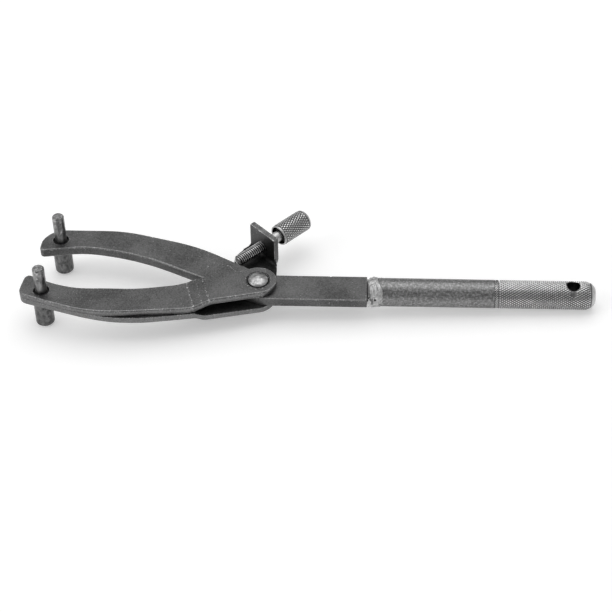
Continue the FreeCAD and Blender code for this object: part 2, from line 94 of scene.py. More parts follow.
def pick(kind, test):
    # selects only the faces, edges or corners that pass the test
    bpy.ops.mesh.select_mode(type=kind)
    bpy.ops.mesh.select_all(action="DESELECT")
    data = bpy.context.object.data
    shape = bmesh.from_edit_mesh(data)
    shape.normal_update()
    parts = {"VERT": shape.verts, "EDGE": shape.edges, "FACE": shape.faces}[kind]
    found = [part for part in parts if test(part)]
    for part in found:
        part.select_set(True)
    bmesh.update_edit_mesh(data)
    return len(found)


def middle(part):
    return sum((corner.co for corner in part.verts), Vector()) / len(part.verts)


def rise(edge):
    # how far an edge climbs along Z
    return abs(edge.verts[0].co.z - edge.verts[1].co.z)


def faceOutwards():
    bpy.ops.mesh.select_all(action="SELECT")
    bpy.ops.mesh.normals_make_consistent(inside=False)


def growRound(size, height=0):
    # grows what is picked about Z
    bpy.ops.transform.resize(value=(size, size, 1), center_override=(0, 0, height))


def applyModifier(piece, kind, **settings):
    workOn(piece)
    modifier = piece.modifiers.new(kind.lower(), kind)
    for name, value in settings.items():
        setattr(modifier, name, value)
    bpy.ops.object.modifier_apply(modifier=modifier.name)


def placePiece(piece, place=(0, 0, 0), turn=(0, 0, 0)):
    # sets the piece down and puts its place in its mesh
    workOn(piece)
    piece.rotation_euler = turn
    piece.location = place
    bpy.ops.object.transform_apply()


def cutWith(piece, cutter, operation="DIFFERENCE"):
    applyModifier(piece, "BOOLEAN", object=cutter, operation=operation, solver="EXACT",
                  material_mode="TRANSFER")
    bpy.data.objects.remove(cutter)


def joinParts(piece, *parts):
    # the parts become one mesh with the piece
    deselectAll()
    for part in (piece, *parts):
        part.select_set(True)
    bpy.context.view_layer.objects.active = piece
    bpy.ops.object.join()


def setMaterials(piece, *materials):
    piece.data.materials.clear()
    for material in materials:
        piece.data.materials.append(material)


def slotOf(piece, material):
    # the number of a material in the piece's list, or -1
    return piece.data.materials.find(material.name)


def assignMaterial(piece, material):
    # gives what is picked in edit mode one of the piece's materials
    piece.active_material_index = slotOf(piece, material)
    bpy.ops.object.material_slot_assign()


def paintFaces(piece, material, test):
    startEdit(piece)
    pick("FACE", test)
    assignMaterial(piece, material)
    endEdit()


def copyOfNode(node, name, *materials):
    # a copy of a CAD node, its loose triangles merged into whole faces
    piece = bpy.data.objects.new(name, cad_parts[node].data.copy())
    bpy.context.collection.objects.link(piece)
    setMaterials(piece, *materials)
    startEdit(piece, "VERT")
    bpy.ops.mesh.customdata_custom_splitnormals_clear()
    bpy.ops.mesh.remove_doubles(threshold=0.002 * mm)
    bpy.ops.mesh.dissolve_limited(angle_limit=math.radians(0.4))
    endEdit()
    return piece


def addShape(name, add, **settings):
    # a primitive with its place put in its mesh
    deselectAll()
    add(**settings)
    piece = bpy.context.object
    piece.name = name
    bpy.ops.object.transform_apply()
    return piece


def addBall(name, centre, radius, rounds=3):
    return addShape(name, bpy.ops.mesh.primitive_ico_sphere_add, subdivisions=rounds,
                    radius=radius * mm, location=centre)


def extrudeSteps(extrude, radius, height, steps):
    # extrudes what is picked through steps of radius and height about Z
    for newRadius, newHeight in steps:
        extrude(TRANSFORM_OT_translate={"value": (0, 0, (newHeight - height) * mm)})
        growRound(newRadius / radius, newHeight * mm)
        radius, height = newRadius, newHeight


def turnedPiece(name, steps, sides, material):
    # a round piece about Z, extruded through steps of radius and height
    radius, height = steps[0]
    piece = addShape(name, bpy.ops.mesh.primitive_circle_add, vertices=sides, radius=radius * mm,
                     fill_type="NGON", location=(0, 0, height * mm))
    setMaterials(piece, material)
    startEdit(piece)
    extrudeSteps(bpy.ops.mesh.extrude_region_move, radius, height, steps[1:])
    faceOutwards()
    endEdit()
    return piece


def closeEnd(piece, height, steps):
    # walks an open end ring through steps of radius and height and fills the last one
    startEdit(piece, "EDGE")
    pick("EDGE", lambda edge: edge.is_boundary and abs(edge.verts[0].co.z - height * mm) < hairWidth)
    ring = [edge for edge in bmesh.from_edit_mesh(piece.data).edges if edge.select]
    radius = ring[0].verts[0].co.xy.length / mm
    extrudeSteps(bpy.ops.mesh.extrude_edges_move, radius, height, steps)
    bpy.ops.mesh.edge_face_add()
    faceOutwards()
    endEdit()


# knurls about Z, from one dictionary: start, end, radius, depth, slope, around, along, and for some a test
# of what stays smooth and the side of each diamond that is painted bright as a highlight
def knurlBlank(name, knurl, ends):
    # the plain root of a knurl
    length = knurl["end"] - knurl["start"]
    piece = addShape(name, bpy.ops.mesh.primitive_cylinder_add, vertices=knurl["around"],
                     radius=(knurl["radius"] - knurl["depth"]) * mm, depth=length * mm,
                     end_fill_type=ends, location=(0, 0, (knurl["start"] + length / 2) * mm))
    setMaterials(piece, knurlGrooveShade, polishedCrestAndHighlight, turnedSteel, shadeBlack)
    return piece


def raiseCrests(piece, knurl):
    # insets each picked face by the groove's slope and lifts it to the knurl's radius
    bpy.ops.mesh.inset(thickness=knurl["slope"] * mm, depth=knurl["depth"] * mm, use_individual=True)
    assignMaterial(piece, polishedCrestAndHighlight)


def facesSide(face, side):
    # true for a slope of a diamond that faces the given way along Z and round it
    radial = middle(face).xy.normalized()
    around = Vector((-radial.y, radial.x))
    return face.normal.z * side[0] > 0.15 and face.normal.xy.dot(around) * side[1] > 0.15


def knurledBand(name, knurl):
    # crossed grooves: quads are poked, the square edges dissolved, each diamond inset and raised,
    # except where the band is to stay smooth
    root = knurl["radius"] - knurl["depth"]
    length = knurl["end"] - knurl["start"]
    piece = knurlBlank(name, knurl, "NOTHING")
    startEdit(piece, "EDGE")
    pick("EDGE", lambda edge: rise(edge) > 0.5 * length * mm)
    bpy.ops.mesh.subdivide(number_cuts=knurl["along"] - 1)
    bpy.ops.mesh.select_mode(type="FACE")
    bpy.ops.mesh.select_all(action="SELECT")
    bpy.ops.mesh.poke()
    # a quad's middle lies inside the circle by the sag, so it is moved out to the circle
    sag = root * (1 - math.cos(math.pi / knurl["around"]))
    pick("VERT", lambda corner: len(corner.link_edges) == 4 and corner.co.xy.length < (root - sag / 2) * mm)
    growRound(root / (root - sag))
    pick("EDGE", lambda edge: not edge.is_boundary and (
        rise(edge) < hairWidth or (edge.verts[0].co.xy - edge.verts[1].co.xy).length < hairWidth))
    bpy.ops.mesh.dissolve_edges(use_verts=False)
    smooth = knurl.get("smooth", lambda place: False)
    pick("FACE", lambda face: len(face.verts) == 4 and not smooth(middle(face)))
    raiseCrests(piece, knurl)
    endEdit()
    # painted highlight: the flanks of the diamonds that face one way take the bright crest steel
    if "highlightSide" in knurl:
        paintFaces(piece, polishedCrestAndHighlight, lambda face: facesSide(face, knurl["highlightSide"]))
    return piece


def finishPiece(piece, body, nodes, angle=30, weighted=True):
    workOn(piece)
    bpy.ops.object.shade_smooth_by_angle(angle=math.radians(angle))
    if weighted:
        applyModifier(piece, "WEIGHTED_NORMAL", keep_sharp=True, weight=50)
    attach(piece, body)
    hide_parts(*nodes)
    print("made", piece.name, len(piece.data.polygons), "faces")


# colours, nodes and the metals
def hexColour(text):
    # sRGB hex to linear
    channels = [int(text[i:i + 2], 16) / 255 for i in (1, 3, 5)]
    return [c / 12.92 if c <= 0.04045 else ((c + 0.055) / 1.055) ** 2.4 for c in channels] + [1]


def addNode(tree, kind, settings=None, links=None):
    # one node: settings by socket or property name, links from other nodes' first outputs or named ones
    node = tree.nodes.new("ShaderNode" + kind)
    for name, value in (settings or {}).items():
        if isinstance(name, int) or name in node.inputs:
            node.inputs[name].default_value = value
        else:
            setattr(node, name, value)
    for name, source in (links or {}).items():
        tree.links.new(source.outputs[0] if hasattr(source, "outputs") else source, node.inputs[name])
    return node


def emptyTree(owner):
    owner.use_nodes = True
    owner.node_tree.nodes.clear()
    return owner.node_tree


# what a metal's look starts from, sizes in millimetres: its pattern, the wear on edges and where it is bare,
# the painted shade that darkens its corners, its roughness and its relief; the grain is drawn coarse enough
# to show
metalLook = {
    "cloudSize": 3, "cloudShare": 0.8, "grainSize": 1.0, "spotSize": 1.6, "stretch": (1, 1, 1),
    "edgeReach": 0.8, "edgeWear": 0.1, "markWearAndHighlight": 0.1, "bareFrom": 0.66, "bareSoft": 0.2,
    "cornerShadeReach": 3, "cornerShadeTone": 0.5, "roughness": (0.34, 0.5), "relief": 0.05,
}


def metalMaterial(name, look):
    # mottled metal: cloud and grain set the tone, bare spots gather on arrises and where a piece is worn, and
    # painted shade darkens the colour where the piece's own surfaces close in
    look = dict(metalLook, **look)
    dark, light, bare = [hexColour(tone) for tone in look["tones"]]
    smoothest, roughest = look["roughness"]
    material = bpy.data.materials.new(name)
    tree = emptyTree(material)
    place = addNode(tree, "TexCoord").outputs["Object"]
    drawn = addNode(tree, "Mapping", {"Scale": look["stretch"]}, {"Vector": place})
    cloud, grain, spots = [
        addNode(tree, "TexNoise", {"Scale": 1 / (look[size] * mm), "Detail": detail, "Roughness": roughness},
                {"Vector": source})
        for size, detail, roughness, source in (("cloudSize", 3, 0.5, place), ("grainSize", 3, 0.65, drawn),
                                                ("spotSize", 2, 0.6, place))]
    share = addNode(tree, "Math", {"operation": "MULTIPLY_ADD", 1: look["cloudShare"]}, {0: cloud, 2: grain})
    tone = addNode(tree, "MapRange", {"From Min": 0.5 * look["cloudShare"] + 0.28,
                   "From Max": 0.5 * look["cloudShare"] + 0.72}, {"Value": share})
    colour = addNode(tree, "Mix", {"data_type": "RGBA", 6: dark, 7: light}, {0: tone})
    thin = addNode(tree, "AmbientOcclusion", {"Distance": look["edgeReach"] * mm, "samples": 6,
                   "only_local": True, "inside": True})
    edge = addNode(tree, "MapRange", {"From Min": 0.95, "From Max": 0.55, "To Max": look["edgeWear"]},
                   {"Value": thin.outputs["AO"]})
    wearAndHighlight = addNode(tree, "Attribute", {"attribute_name": "wearAndHighlight"})
    marked = addNode(tree, "Math", {"operation": "MULTIPLY_ADD", 1: look["markWearAndHighlight"]},
                     {0: wearAndHighlight.outputs["Fac"], 2: edge})
    worn = addNode(tree, "Math", {"operation": "ADD"}, {0: marked, 1: spots})
    bareness = addNode(tree, "MapRange", {"From Min": look["bareFrom"],
                       "From Max": look["bareFrom"] + look["bareSoft"]}, {"Value": worn})
    mixed = addNode(tree, "Mix", {"data_type": "RGBA", 7: bare}, {0: bareness, 6: colour.outputs[2]})
    # painted shade: ambient occlusion darkens the colour in corners and hollows, by each look's reach and
    # tone
    corner = addNode(tree, "AmbientOcclusion", {"Distance": look["cornerShadeReach"] * mm, "samples": 6,
                     "only_local": True})
    cornerShade = addNode(tree, "MapRange", {"From Min": 0.25, "From Max": 0.9,
                   "To Min": look["cornerShadeTone"], "To Max": 1.0}, {"Value": corner.outputs["AO"]})
    shadedColour = addNode(tree, "Mix", {"data_type": "RGBA", "blend_type": "MULTIPLY", 0: 1.0},
                     {6: mixed.outputs[2], 7: cornerShade})
    gloss = addNode(tree, "MapRange", {"From Min": 0.3, "From Max": 0.7, "To Min": smoothest,
                    "To Max": roughest}, {"Value": grain})
    relief = addNode(tree, "Bump", {"Strength": 1.0, "Distance": look["relief"] * mm}, {"Height": grain})
    shader = addNode(tree, "BsdfPrincipled", {"Metallic": 1.0},
                     {"Base Color": shadedColour.outputs[2], "Roughness": gloss, "Normal": relief})
    addNode(tree, "OutputMaterial", {}, {"Surface": shader})
    return material


# hot rolled steel blackened in oil: a dull dark grey with a fine pitted grain, bare where it is rubbed; near
# the ear and in its other corners its colour is darkened far out as painted shade
blackenedSteel = metalMaterial("oil blackened rolled steel", {
    "tones": ("#484848", "#707070", "#b0b0b0"), "cloudSize": 16, "cloudShare": 0.6,
    "grainSize": 0.8, "spotSize": 0.9, "edgeReach": 1.6, "edgeWear": 0.14, "markWearAndHighlight": 0.16,
    "bareFrom": 0.67, "bareSoft": 0.12, "cornerShadeReach": 22, "cornerShadeTone": 0.06, "roughness": (0.38, 0.52),
    "relief": 0.06})
# arrises where handling has taken the black off: a broken bright line along each edge
rubbedEdge = metalMaterial("rubbed steel edge", {
    "tones": ("#5e5e5e", "#8e8e8e", "#bcbcbc"), "cloudSize": 12, "cloudShare": 0.4,
    "grainSize": 0.9, "spotSize": 0.9, "edgeReach": 1.6, "markWearAndHighlight": 0.16, "bareFrom": 0.6,
    "roughness": (0.28, 0.42), "relief": 0.06})
# the stamped leaves' side walls: rough where the sheet broke, a shade lighter than its faces
shearedEdge = metalMaterial("sheared steel edge", {
    "tones": ("#585858", "#8e8e8e", "#aeaeae"), "cloudSize": 12, "cloudShare": 0.2,
    "grainSize": 0.7, "spotSize": 0.9, "edgeReach": 1.0, "edgeWear": 0.08, "markWearAndHighlight": 0.16,
    "bareFrom": 0.64, "relief": 0.1})
# cut steel along the ear's top: speckled grey between two bright arrises
cutSteel = metalMaterial("cut steel edge", {
    "tones": ("#464646", "#868686", "#dadada"), "cloudShare": 0.4, "grainSize": 0.7,
    "spotSize": 0.9, "edgeReach": 0.9, "edgeWear": 0.24, "bareFrom": 0.62, "relief": 0.06})
# bright drawn bar gone dull: mid grey and mottled by the heat of welding, streaked along its length
drawnBar = metalMaterial("dulled drawn steel bar", {
    "tones": ("#606060", "#949494", "#b0b0b0"), "cloudSize": 1.1, "cloudShare": 0.5,
    "grainSize": 0.8, "spotSize": 1.1, "stretch": (0.4, 1, 1), "edgeReach": 1.5, "bareFrom": 0.5,
    "bareSoft": 0.3, "roughness": (0.36, 0.5)})
# the knurl's crests, polished by the hand and painted brighter as a highlight: small bright diamonds; on the
# handle also the flanks that face one way, as a painted highlight
polishedCrestAndHighlight = metalMaterial("hand polished knurl crest and painted highlight", {
    "tones": ("#cccccc", "#f4f4f4", "#f8f8f8"), "cloudSize": 6, "cloudShare": 0.6,
    "grainSize": 1.4, "edgeWear": 0.0, "bareFrom": 0.6, "bareSoft": 0.1, "cornerShadeReach": 1, "cornerShadeTone": 1.0,
    "roughness": (0.3, 0.42), "relief": 0.03})
# the knurl's grooves, painted as shade: duller, darker steel than the crests, darkest towards the bottom
knurlGrooveShade = metalMaterial("knurl groove steel painted darker as shade", {
    "tones": ("#626262", "#8e8e8e", "#acacac"), "cloudSize": 6, "cloudShare": 0.6,
    "grainSize": 1.2, "edgeWear": 0.0, "bareSoft": 0.1, "cornerShadeReach": 0.6, "cornerShadeTone": 0.35,
    "roughness": (0.3, 0.44), "relief": 0.04})
# weld metal brushed clean: bright streaks over the ripples, darker oxide between them
brushedWeld = metalMaterial("brushed weld metal", {
    "tones": ("#989898", "#d8d8d8", "#efefef"), "cloudShare": 0.6, "grainSize": 1.6,
    "spotSize": 1.8, "stretch": (1, 0.5, 0.5), "bareFrom": 0.56, "bareSoft": 0.25, "cornerShadeReach": 1.6,
    "cornerShadeTone": 0.2, "roughness": (0.4, 0.52)})
# a rivet's head formed by hammering: bright shallow facets
hammeredSteel = metalMaterial("hammered rivet steel", {
    "tones": ("#848484", "#c0c0c0", "#ececec"), "cloudSize": 2.2, "grainSize": 1.6,
    "spotSize": 1.8, "edgeWear": 0.0, "bareFrom": 0.58, "cornerShadeReach": 1.5, "cornerShadeTone": 0.3,
    "roughness": (0.26, 0.38), "relief": 0.12})
# turned pins darkened by oil: mid grey, streaked along their length, paler at the rubbed end
oiledPin = metalMaterial("oiled turned pin", {
    "tones": ("#585858", "#9c9c9c", "#bebebe"), "cloudSize": 4, "grainSize": 1.5,
    "spotSize": 1.8, "stretch": (1, 1, 0.35), "edgeWear": 0.14, "markWearAndHighlight": 0.14, "cornerShadeTone": 0.3,
    "roughness": (0.3, 0.44)})
# the pins' thick ends: the same steel, painted darker as the shade under the jaws
shadedStub = metalMaterial("pin end painted darker as shade", {
    "tones": ("#484848", "#7a7a7a", "#a0a0a0"), "cloudShare": 0.9, "grainSize": 1.5,
    "spotSize": 1.8, "stretch": (1, 1, 0.6), "cornerShadeTone": 0.3, "roughness": (0.32, 0.46)})
# turned steel left plain beside a knurl: an even light grey
turnedSteel = metalMaterial("plain turned steel", {
    "tones": ("#b0b0b0", "#d4d4d4", "#e8e8e8"), "grainSize": 1.2, "edgeReach": 0.6,
    "bareFrom": 0.62, "cornerShadeReach": 1.5, "cornerShadeTone": 0.4, "roughness": (0.4, 0.5), "relief": 0.04})
# zinc plate on the screw: pale, smooth and a little cloudy
zincPlate = metalMaterial("zinc plated screw", {
    "tones": ("#b8b8b8", "#e8e8e8", "#f8f8f8"), "spotSize": 1.4, "edgeWear": 0.0,
    "bareSoft": 0.1, "cornerShadeReach": 1.2, "cornerShadeTone": 0.35, "roughness": (0.24, 0.36), "relief": 0.03})
# nearly black painted shade: in the thread's roots, the ear's bend and the slide before it, the hang hole,
# the rivet's ring, the pins' seats, the knob's recess and the weld's pit
shadeBlack = metalMaterial("nearly black painted shade", {
    "tones": ("#222222", "#3c3c3c", "#4e4e4e"), "spotSize": 1.4, "edgeWear": 0.0,
    "markWearAndHighlight": 0.0, "bareFrom": 0.7, "bareSoft": 0.1, "cornerShadeReach": 1.2, "cornerShadeTone": 0.3,
    "roughness": (0.4, 0.55), "relief": 0.03})
print("materials made")


# places that several pieces share
def spot(node):
    # the middle of a CAD node's box
    low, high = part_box(node)
    return (low + high) / 2


# the screw's axis: its turn from X, and the ear's and the knob's middles from its foot beside the pivot
screwAxis = {"turn": math.radians(45), "earMiddle": 23.55, "knobMiddle": 44.6}

pivot = spot("pivot_rivet")
fixedPin = spot("fixed_jaw_pin")
movingPin = spot("moving_jaw_pin")
axisTurn = Vector((math.cos(screwAxis["turn"]), math.sin(screwAxis["turn"]), 0))
screwFoot = spot("screw_knob") - axisTurn * screwAxis["knobMiddle"] * mm
spotOnEar = screwFoot + axisTurn * screwAxis["earMiddle"] * mm


def nearHole(place, *holes):
    # true within reach of one of the holes, each a centre and a reach
    return any((place.xy - centre.xy).length < reach * mm for centre, reach in holes)


def outward(edge):
    # the normal of the side wall beside an arris
    return min((face.normal for face in edge.link_faces), key=lambda normal: abs(normal.z))


def rollArrises(piece, width, segments, material, where):
    # rounds outer arrises that aren't rolled yet and gives the new faces one of the piece's materials
    rolled = (slotOf(piece, rubbedEdge), slotOf(piece, cutSteel))

    def sharp(edge):
        return (len(edge.link_faces) == 2 and edge.calc_face_angle_signed(0) > math.radians(38)
                and not any(face.material_index in rolled for face in edge.link_faces))

    startEdit(piece, "EDGE")
    pick("EDGE", lambda edge: sharp(edge) and where(middle(edge), outward(edge)))
    bpy.ops.mesh.bevel(offset=width * mm, segments=segments, profile=0.5, affect="EDGES",
                       clamp_overlap=False, material=slotOf(piece, material))
    endEdit()


def scoreSides(piece, score, test):
    # the shear line of a stamped edge: a fine groove round the side walls
    rolled = slotOf(piece, rubbedEdge)

    def onWall(edge):
        walls = [abs(face.normal.z) < 0.2 and face.material_index != rolled for face in edge.link_faces]
        return len(walls) == 2 and all(walls) and test(middle(edge))

    startEdit(piece, "EDGE")
    pick("EDGE", lambda edge: onWall(edge) and rise(edge) > score["wall"] * mm)
    bpy.ops.mesh.subdivide(number_cuts=1)
    pick("EDGE", lambda edge: onWall(edge) and rise(edge) < 0.6 * edge.calc_length())
    bpy.ops.transform.translate(value=(0, 0, -score["drop"] * mm))
    bpy.ops.mesh.bevel(offset=score["width"] / 2 * mm, segments=1, affect="EDGES", clamp_overlap=False)
    bpy.ops.mesh.select_mode(type="FACE")
    bpy.ops.mesh.extrude_region_shrink_fatten(TRANSFORM_OT_shrink_fatten={"value": -score["depth"] * mm})
    endEdit()


def markWearAndHighlight(piece, amount):
    # the wear and highlight attribute draws bare spots to places other than arrises: rubbed wear, and the
    # painted highlights along the upper leaf's folds
    wearAndHighlight = piece.data.attributes.new("wearAndHighlight", "FLOAT", "POINT")
    for corner in piece.data.vertices:
        wearAndHighlight.data[corner.index].value = amount(corner.co)


# the flat bar: shank and fixed jaw
bar = {
    # widths of the rolled arrises
    "roll": 0.75,
    "shankRoll": 0.4,
    "farRoll": 0.35,
    "holeRoll": 0.2,
    # reach of the rivet's and the pin's holes, which the rolls keep clear of
    "rivetReach": 6,
    "pinReach": 5,
    # the nick in the shank's far edge: place, height above the bar's top and radius
    "nick": (-131.1, 9.2),
    "nickHeight": 0.2,
    "nickSize": 0.9,
    # the rolls double one corner of the underside at the weld, between these places along Y
    "doubledCorner": (8.4, 8.95),
}


def makeBar():
    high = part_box("shank_jaw")[1]
    top, end = high.z, high.x
    piece = copyOfNode("shank_jaw", "flatBar", blackenedSteel, rubbedEdge, shearedEdge)
    rivetHole, pinHole = (pivot, bar["rivetReach"]), (fixedPin, bar["pinReach"])

    def flat(place):
        return abs(place.z) > top - 0.1 * mm and not nearHole(place, rivetHole, pinHole)

    def nearArris(place, out):
        return flat(place) and out.y < 0.2

    rollArrises(piece, bar["roll"], 3, rubbedEdge, lambda p, out: nearArris(p, out) and p.x < pivot.x)
    rollArrises(piece, bar["shankRoll"], 2, shearedEdge, lambda p, out: nearArris(p, out) and p.x >= pivot.x)
    rollArrises(piece, bar["farRoll"], 2, blackenedSteel, lambda p, out: flat(p) and not nearArris(p, out))
    rollArrises(piece, bar["holeRoll"], 2, rubbedEdge, lambda p, out: nearHole(p, pinHole))
    inner, outer = bar["doubledCorner"]
    startEdit(piece, "VERT")
    pick("VERT", lambda corner: corner.co.x > end - mm and inner * mm < corner.co.y < outer * mm
         and corner.co.z < hairWidth - top)
    bpy.ops.mesh.merge(type="CENTER")
    endEdit()
    nickX, nickY = bar["nick"]
    centre = (nickX * mm, nickY * mm, top + bar["nickHeight"] * mm)
    cutWith(piece, addBall("nick", centre, bar["nickSize"], 2))
    finishPiece(piece, "fixed_jaw", ["shank_jaw"])


# the moving jaw's two stamped leaves
leaf = {
    # widths of the rolled arrises
    "roll": 0.95,
    "farRoll": 0.3,
    "underRoll": 0.16,
    "holeRoll": 0.2,
    "earRoll": 0.4,
    # reach of the rivet's, the pin's and the screw's holes, which the rolls keep clear of
    "rivetReach": 7.2,
    "pinReach": 4.6,
    "screwReach": 4.2,
    # the folds' turn from square, and distances from the pivot square to them: past the step, at the tip
    "foldTurn": math.radians(16),
    "armFrom": -36,
    "tipFrom": -90,
    # the leaves lie close together from here on: share of their distance from the bar's mid-plane
    "closingFrom": -37,
    "closing": 0.3,
    # least height of the outer face, in the arm and at the pivot
    "armFace": 2.6,
    "pivotFace": 3.4,
    # bright folds of the upper leaf, painted highlights where the bends catch light with rubbing at their
    # crests: distance from the pivot and amount, then the cuts that carry each
    "folds": ((-37.9, 1.0), (-33, 0.5), (-29, 0.8)),
    "foldCuts": (-0.8, -0.3, 0.3, 0.8),
    "foldReach": 0.5,
    # the shear line: least height of the wall, drop from its middle, width and depth
    "shear": {"wall": 1.2, "drop": 0.5, "width": 0.3, "depth": 0.14},
    # the ear: where it begins along the screw, heights of its top, rubbed side and bend, the painted shade
    # before it
    "earFrom": 17,
    "earTop": 8,
    "earSide": 4,
    "earBend": 6,
    "shadeFrom": 10.6,
    "shadeReach": 20,
    # the roll doubles one corner of the top face, at this place from the moving pin's middle
    "doubledCorner": (-8.6, -3.24, 3.49),
}


acrossFolds = Vector((math.cos(leaf["foldTurn"]), math.sin(leaf["foldTurn"]), 0))


def alongFold(place):
    # distance from the pivot, square to the leaf's folds, in millimetres
    return (place - pivot).dot(acrossFolds) / mm


def onArm(place):
    return alongFold(place) < leaf["armFrom"]


def onOuterFace(place, side):
    # true at the face that lies further from the bar's mid-plane
    return place.z / mm * side > (leaf["armFace"] if onArm(place) else leaf["pivotFace"])


def awayFromEar(place):
    return (place - pivot).dot(axisTurn) < leaf["earFrom"] * mm


def markFold(piece, where):
    # cuts across the upper leaf beside a fold, to carry its bright line, a painted highlight with rubbing at
    # the crest
    startEdit(piece)
    for shift in leaf["foldCuts"]:
        pick("FACE", lambda face: face.normal.z > 0.8 and face.material_index == 0)
        bpy.ops.mesh.bisect(plane_co=pivot + acrossFolds * (where + shift) * mm, plane_no=acrossFolds)
    endEdit()


def paintEar(piece):
    # the ear's cut top is bare, its near side rubbed, and its bend and the slide before it are painted nearly
    # black as shade
    shadeFrom = leaf["shadeFrom"] * mm

    def onSlide(face):
        # the lower leaf's upper face, which lies against the bar
        return face.normal.z > 0.97 and middle(face).z < 0

    startEdit(piece)
    pick("FACE", onSlide)
    bpy.ops.mesh.bisect(plane_co=(0, shadeFrom, 0), plane_no=(0, 1, 0))
    endEdit()
    # painted shade: the slide beyond the bar's edge, where the ear and screw cast their shadow, is painted
    # nearly black
    paintFaces(piece, shadeBlack, lambda face: onSlide(face)
               and middle(face).x > pivot.x - leaf["shadeReach"] * mm
               and all(corner.co.y > shadeFrom - hairWidth for corner in face.verts))
    paintFaces(piece, cutSteel, lambda face: face.normal.z > 0.5 and middle(face).z > leaf["earTop"] * mm)
    paintFaces(piece, cutSteel, lambda face: face.normal.cross(axisTurn).z > 0.85
               and middle(face).z > leaf["earSide"] * mm)
    # painted shade: the ear's bend is painted nearly black
    paintFaces(piece, shadeBlack, lambda face: 0.1 < face.normal.z < 0.97 and face.normal.dot(axisTurn) < -0.14
               and middle(face).z < leaf["earBend"] * mm and not awayFromEar(middle(face)))


def makeLeaf(node, name, side, folds):
    piece = copyOfNode(node, name, blackenedSteel, rubbedEdge, shearedEdge, cutSteel, shadeBlack)
    rivetHole, pinHole = (pivot, leaf["rivetReach"]), (movingPin, leaf["pinReach"])
    upper = side > 0
    startEdit(piece, "VERT")
    pick("VERT", lambda corner: alongFold(corner.co) < leaf["closingFrom"] and corner.co.z * side < 1.5 * mm)
    bpy.ops.transform.resize(value=(1, 1, leaf["closing"]), center_override=(0, 0, 0))
    endEdit()
    for fold in folds:
        markFold(piece, fold[0])

    def along(place):
        return not nearHole(place, rivetHole, pinHole) and awayFromEar(place)

    def rubbed(place, out):
        return out.y < -0.3 or (out.y < 0.2 and alongFold(place) < leaf["tipFrom"])

    def farArris(place, out):
        return along(place) and onOuterFace(place, side) and not rubbed(place, out)

    def earArris(place):
        return (not awayFromEar(place) and not nearHole(place, rivetHole, pinHole)
                and (place - spotOnEar).length > leaf["screwReach"] * mm)

    paintFaces(piece, shearedEdge, lambda face: abs(face.normal.z) < 0.3
               and rubbed(middle(face), face.normal) and along(middle(face)))
    rollArrises(piece, leaf["roll"] if upper else leaf["underRoll"], 4 if upper else 2, rubbedEdge,
                lambda p, out: along(p) and onOuterFace(p, side) and rubbed(p, out))
    rollArrises(piece, leaf["farRoll"], 2, blackenedSteel, lambda p, out: farArris(p, out) and onArm(p))
    rollArrises(piece, leaf["farRoll"], 2, rubbedEdge, lambda p, out: farArris(p, out) and not onArm(p))
    rollArrises(piece, leaf["underRoll"], 2, rubbedEdge, lambda p, out: along(p) and not onOuterFace(p, side))
    rollArrises(piece, leaf["earRoll"], 2, rubbedEdge if upper else cutSteel, lambda p, out: earArris(p))
    rollArrises(piece, leaf["holeRoll"], 2, rubbedEdge, lambda p, out: nearHole(p, pinHole))
    startEdit(piece, "VERT")
    if upper:
        doubled = movingPin + Vector(leaf["doubledCorner"]) * mm
        pick("VERT", lambda corner: (corner.co.xy - doubled.xy).length < 0.3 * mm and corner.co.z > doubled.z)
        bpy.ops.mesh.merge(type="CENTER")
    bpy.ops.mesh.select_all(action="SELECT")
    bpy.ops.mesh.dissolve_degenerate(threshold=0.001 * mm)
    endEdit()
    if upper:
        scoreSides(piece, leaf["shear"], along)
    else:
        paintEar(piece)

    def foldWearAndHighlight(place):
        return max([amount for fold, amount in folds
                    if abs(alongFold(place) - fold) < leaf["foldReach"] and place.z > 0] or [0.0])

    # painted highlight: bright lines along the folds, with the rubbing at their crests
    markWearAndHighlight(piece, foldWearAndHighlight)
    finishPiece(piece, "moving_jaw", [node])


makeBar()
makeLeaf("upper_jaw_leaf", "upperLeaf", 1, leaf["folds"])
makeLeaf("lower_jaw_leaf", "lowerLeaf", -1, ())


# the round handle with its knurled grip
handle = {
    "radius": 7.75,
    "sides": 96,
    # the rounded end: distance from the end and radius
    "round": ((5.2, 7.75), (4.2, 7.58), (3.2, 7.2), (2.3, 6.72), (1.5, 6.1), (0.8, 5.45), (0.3, 4.8),
              (0, 4.1)),
    # the knurl from its first band to its stop in the rounded end, as distances from the end
    "knurlFrom": 54.7,
    "knurlTo": 2.3,
    "firstBand": 2.1,
    "firstBandTurn": math.radians(20),
    "around": 36,
    "along": 23,
    "depth": 0.32,
    "slope": 0.27,
    "highlightSide": (-1, 1),
    "roundRows": 12,
    "holeRadius": 3.6,
    "holeFlare": 0.2,
    "holeFlareDepth": 1.0,
    "holeMargin": 0.6,
    # the spot filed smooth beside the hole: turn from the top and reach
    "filed": (41, 1.9),
}


def onRound(along, degrees, radius):
    # a point about the handle's axis: degrees run from the top towards the near side
    angle = math.radians(degrees)
    return Vector((along, -radius * math.sin(angle), radius * math.cos(angle))) * mm


def layAlongX(piece):
    placePiece(piece, (0, 0, 0), (0, math.radians(90), 0))


def slashedBand(name, knurl):
    # the knurl's first band, where the wheels bit in: slanting ridges only
    piece = knurlBlank(name, knurl, "NGON")
    startEdit(piece)
    pick("VERT", lambda corner: abs(corner.co.z - knurl["end"] * mm) < hairWidth)
    bpy.ops.transform.rotate(value=knurl["firstBandTurn"], orient_axis="Z", center_override=(0, 0, 0))
    pick("FACE", lambda face: abs(face.normal.z) < 0.8)
    raiseCrests(piece, knurl)
    endEdit()
    return piece


def roundedRadius(fromEnd):
    # the handle's radius at a distance from its end
    for (far, outer), (near, inner) in zip(handle["round"], handle["round"][1:]):
        if near <= fromEnd <= far:
            return inner + (outer - inner) * (fromEnd - near) / (far - near)
    return handle["radius"]


